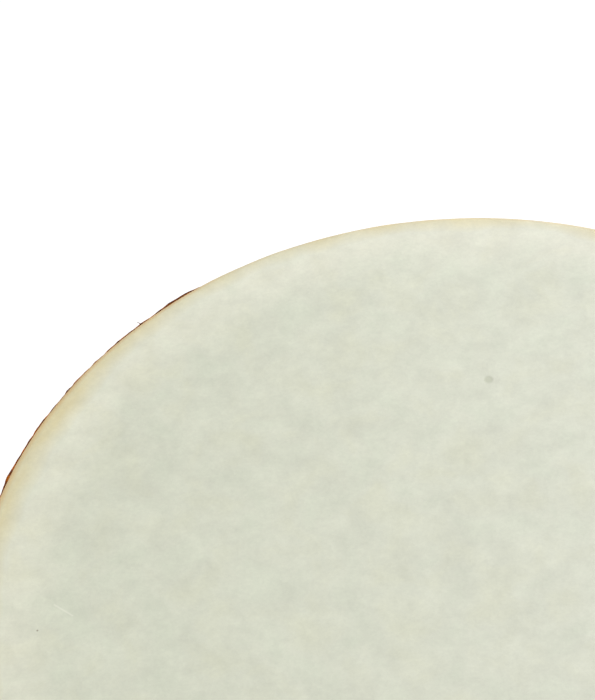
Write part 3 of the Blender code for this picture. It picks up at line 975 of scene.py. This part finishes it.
def makeShoe(index, material):
    turn, slope, depth = drum["legTurns"][index], shoe["grooveSlope"], shoe["grooveDepth"]
    section = [(shoe["inner"], 0)]
    for middle in shoe["grooves"]:
        near, far = middle - shoe["grooveWidth"] / 2, middle + shoe["grooveWidth"] / 2
        section += [(near, 0), (near + slope, depth), (far - slope, depth), (far, 0)]
    section += [(shoe["outer"], 0), (shoe["outer"], shoe["outerTop"]), (shoe["slotOuter"], shoe["outerTop"]),
                (shoe["slotInner"], shoe["innerTop"]), (shoe["inner"], shoe["innerTop"])]
    shape = lathe(section, shoe["steps"], sweep=2 * shoe["half"], start=turn - shoe["half"])

    def outside(edge):
        middle = (edge.verts[0].co + edge.verts[1].co) / 2
        radius = middle.xy.length
        corner = radius > shoe["outer"] - shoe["faceReach"] or radius < shoe["inner"] + shoe["faceReach"]
        return corner or (middle.z > shoe["lipFrom"] and edge.calc_face_angle() > radians(80))
    roundEdges(shape, shoe["moulded"], 3, 50, outside)
    slot = squareRing(shoe["slotInner"], shoe["slotOuter"], shoe["floor"], shoe["slotTop"], shoe["steps"],
                      sweep=2 * shoe["slotHalf"], start=turn - shoe["slotHalf"])
    shape = carve(shape, slot)
    # A low boss under each screw's head
    for side in (-1, 1):
        addShape(shape, lathe(shoe["boss"], 24), seatAt(turn + side * shoe["screwTurn"]))
    node = f"rubber_shoe_{index + 1}"
    piece = newPiece(f"shoe{index + 1}", shape, material, 40)
    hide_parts(node)
    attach(piece, "root")


shoeRubber = rubberMaterial()
for index in range(drum["thirds"]):
    makeShoe(index, shoeRubber)
print("shoes made")


# Screws: pan heads with a cross recess, whose sizes are shares of the head's radius or height

screws = {
    "base": {"count": 8, "circle": 0.1626, "seat": 0.0620, "head": 0.0042, "height": 0.0026, "shank": 0.0020,
             "length": 0.0299},
    "port": {"count": 6, "circle": 0.0666, "seat": 0.0559, "head": 0.0036, "height": 0.0022, "shank": 0.0016,
             "length": 0.0144},
    "foot": {"head": 0.0038, "height": 0.0022, "shank": 0.0016, "length": 0.0087},
}
recess = {"long": 1.15, "wide": 0.24, "deep": 1.4, "lift": 0.95, "endTaper": 0.35, "sideTaper": 0.75}


def steelMaterial():
    material = newMaterial("zincSteel", {"Metallic": 1.0, "Roughness": 0.32})
    point = objectPoint()
    spots = cloud(point, 900, 3, 0.6)
    feed("Base Color", colourSteps(spots, [(0.35, paint(176, 174, 168)), (0.55, paint(198, 198, 196)),
                                           (0.7, paint(208, 205, 192))]))
    roughFrom(spots, 0.24, 0.42)
    bumpFrom(cloud(point, 2600, 2), 0.00003, 0.4)
    return material


# The head seats at the origin, with the shank along +Z
def screwShape(size):
    head, height, shank, length = size["head"], size["height"], size["shank"], size["length"]
    crown = [(head * sin(radians(turn)), -height * (0.45 + 0.55 * cos(radians(turn))))
             for turn in (0, 15, 30, 45, 60, 72, 82, 90)]
    section = crown + [(head * 0.985, -0.0001), (head * 0.94, 0), (shank, 0), (shank, length - shank * 1.5),
                       (shank * 0.25, length), (0, length)]
    shape = lathe(section, 24, closed=False)
    for turn in (0, pi / 2):
        slot = bmesh.new()
        bmesh.ops.create_cube(slot, size=1)
        cut = (head * recess["long"], head * recess["wide"], height * recess["deep"])
        bmesh.ops.scale(slot, verts=slot.verts, vec=cut)
        for v in slot.verts:
            if v.co.z > 0:
                v.co.x *= recess["endTaper"]
                v.co.y *= recess["sideTaper"]
        bmesh.ops.translate(slot, verts=slot.verts, vec=(0, 0, -height * recess["lift"]))
        bmesh.ops.rotate(slot, verts=slot.verts, cent=(0, 0, 0), matrix=Matrix.Rotation(turn, 3, "Z"))
        shape = carve(shape, slot)
    return shape


def makeScrews(kind, seats, material, rng):
    shape = screwShape(screws[kind])
    for index, seat in enumerate(seats):
        piece = newPiece(f"{kind}Screw{index + 1}", shape.copy(), material, 35)
        piece.data.transform(seat @ Matrix.Rotation(rng.uniform(0, pi), 4, "Z"))
        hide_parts(f"{kind}_screw_{index + 1}")
        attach(piece, "root")
    shape.free()


def ringSeats(kind):
    size = screws[kind]
    step = tau / size["count"]
    return [Matrix.Rotation(step * i, 4, "Z") @ Matrix.Translation((size["circle"], 0, size["seat"]))
            for i in range(size["count"])]


rng = random.Random(5)
zincSteel = steelMaterial()
footSeats = [seatAt(turn + side * shoe["screwTurn"]) for turn in drum["legTurns"] for side in (-1, 1)]
makeScrews("base", ringSeats("base"), zincSteel, rng)
makeScrews("port", ringSeats("port"), zincSteel, rng)
makeScrews("foot", footSeats, zincSteel, rng)
print("screws made")


# Base: plywood board, and the air port in its moulded flange

base = {
    "boardInner": 0.0571,
    "boardOuter": 0.1694,
    "boardBottom": 0.0623,
    "boardTop": 0.0743,
    "brokenEdge": 0.0007,
    "veneer": 0.0016,
    "laminate": 0.0018,
    "birchLight": paint(205, 172, 128),
    "birchMiddle": paint(186, 150, 106),
    "birchDark": paint(150, 112, 74),
    "glueLine": paint(96, 66, 42),
}


def plyMaterial():
    material = newMaterial("sealedPly", {"Roughness": 0.5, "Specular IOR Level": 0.45})
    point = objectPoint()
    # Rotary-cut birch: long flames along X with fine pores
    flames = cloud(scaled(point, (0.14, 1, 1)), 34, 4, 0.55, 1.6)
    pores = cloud(scaled(point, (0.05, 1, 1), (2, 0, 0)), 900, 2, 0.6)
    figure = plus(times(flames, 0.8), times(pores, 0.2))
    face = colourSteps(figure, [(0.36, base["birchDark"]), (0.46, base["birchMiddle"]), (0.60, base["birchLight"])])
    # The cut edges show the plies
    ply = maths("FRACT", divide(minus(split(point)[2], base["boardBottom"]), base["veneer"] * 2))
    edge = blendColours(spread(ply, 0.48, 0.52), base["birchLight"], base["birchDark"])
    line = spread(maths("ABSOLUTE", minus(ply, 0.5)), 0.0, 0.05, 0.8, 0, True)
    edge = blendColours(line, edge, base["glueLine"])
    upright = split(addNode("NewGeometry").outputs["True Normal"])[2]
    flatness = spread(maths("ABSOLUTE", upright), 0.5, 0.8)
    feed("Base Color", blendColours(flatness, edge, face))
    roughFrom(pores, 0.6, 0.42)
    bumpFrom(figure, 0.0002, 0.3)
    return material


shape = squareRing(base["boardInner"], base["boardOuter"], base["boardBottom"], base["boardTop"], 192)
roundEdges(shape, base["brokenEdge"], 2)
board = newPiece("plyBoard", shape, plyMaterial())
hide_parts("base_board")
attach(board, "root")

port = {
    "bore": 0.050,
    "mouth": 0.060,
    "mouthRound": 0.010,
    "plateOuter": 0.0761,
    "plateBottom": 0.0562,
    "plateTop": 0.0602,
    "groove": [(0.0745, 0.0562), (0.0742, 0.0566), (0.0732, 0.0566), (0.0729, 0.0562)],
    "seat": 0.0662,
    "collarInner": 0.0538,
    "collarOuter": 0.0568,
    "collarTop": 0.0942,
    "cardOuter": 0.0535,
    "cardBottom": 0.0665,
    "cardTop": 0.2665,
    "cardPitch": 0.052,
    "brokenEdge": 0.0006,
    "steps": 128,
}


def plasticMaterial():
    material = newMaterial("mouldedBlack", {"Roughness": 0.42, "Specular IOR Level": 0.5})
    point = objectPoint()
    haze = cloud(point, 45, 3)
    feed("Base Color", colourSteps(haze, [(0.35, paint(24, 24, 26)), (0.65, paint(36, 36, 38))]))
    roughFrom(haze, 0.36, 0.5)
    bumpFrom(cloud(point, 2200, 3, 0.6), 0.00006, 0.45)
    return material


def cardMaterial():
    material = newMaterial("woundCard", {"Roughness": 0.75, "Specular IOR Level": 0.25})
    point = objectPoint()
    butt = buttLine(*split(point), port["cardPitch"], 0.012)
    fibres = cloud(scaled(point, (1, 1, 3)), 500, 4, 0.65)
    colour = colourSteps(fibres, [(0.35, paint(70, 56, 44)), (0.52, paint(92, 75, 58)), (0.70, paint(118, 98, 76))])
    feed("Base Color", blendColours(times(butt, 0.7), colour, paint(44, 34, 26)))
    fine = bumpFrom(fibres, 0.00015, 0.4)
    bumpFrom(minus(1.0, butt), 0.0004, 0.6, fine)
    return material


# The flange: a flat plate with a shallow ring groove, a flared mouth and the collar that grips the card tube
def outsideGroove(edge):
    radius = edge.verts[0].co.xy.length
    inGroove = port["groove"][-1][0] - 0.0001 < radius < port["groove"][0][0] + 0.0001
    return radius > port["cardOuter"] and not inGroove


section = [(port["collarInner"], port["collarTop"]), (port["collarOuter"], port["collarTop"]),
           (port["collarOuter"], port["plateTop"]), (port["plateOuter"], port["plateTop"]),
           (port["plateOuter"], port["plateBottom"])] + port["groove"]
section += arcPoints(port["mouth"], port["seat"], port["mouthRound"], 270, 180, 12)
shape = lathe(section + [(port["collarInner"], port["seat"])], port["steps"])
roundEdges(shape, port["brokenEdge"], 2, 70, outsideGroove)
flange = newPiece("portFlange", shape, plasticMaterial(), 40)
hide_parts("port_flange")
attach(flange, "root")

shape = squareRing(port["bore"], port["cardOuter"], port["cardBottom"], port["cardTop"], port["steps"])
roundEdges(shape, port["brokenEdge"], 2)
card = newPiece("portCard", shape, cardMaterial())
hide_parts("port_tube")
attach(card, "root")
print("base and port made")


# Rings and gaskets keep their CAD shapes

def ringWoodMaterial():
    material = newMaterial("bentRingWood", {"Roughness": 0.6, "Specular IOR Level": 0.4})
    x, y, z = split(objectPoint())
    radius = radiusOf(x, y)
    grain = cloud(joined(times(maths("ARCTAN2", y, x), 0.012), radius, z), 650, 4, 0.6, 0.4)
    colour = colourSteps(grain, [(0.34, paint(150, 116, 78)), (0.52, paint(196, 163, 118)),
                                 (0.70, paint(216, 187, 143))])
    laminate = maths("ABSOLUTE", maths("SINE", times(radius, pi / base["laminate"])))
    feed("Base Color", blendColours(spread(laminate, 0.0, 0.12, 0.6, 0, True), colour, paint(110, 78, 50)))
    bumpFrom(grain, 0.0002, 0.3)
    return material


def foamMaterial():
    material = newMaterial("blackFoam", {"Roughness": 0.95, "Specular IOR Level": 0.2})
    cells = addNode("TexVoronoi", {"Vector": objectPoint(), "Scale": 1400.0}).outputs["Distance"]
    feed("Base Color", colourSteps(cells, [(0.1, paint(22, 22, 23)), (0.6, paint(52, 52, 54))]))
    bumpFrom(cells, 0.0003, 0.7)
    return material


ringWood, blackFoam = ringWoodMaterial(), foamMaterial()
for node, material in (("bearing_ring", ringWood), ("base_ring", ringWood), ("base_gasket", blackFoam),
                       ("port_gasket", blackFoam)):
    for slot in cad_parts[node].material_slots:
        slot.material = material
print("rings and gaskets dressed")
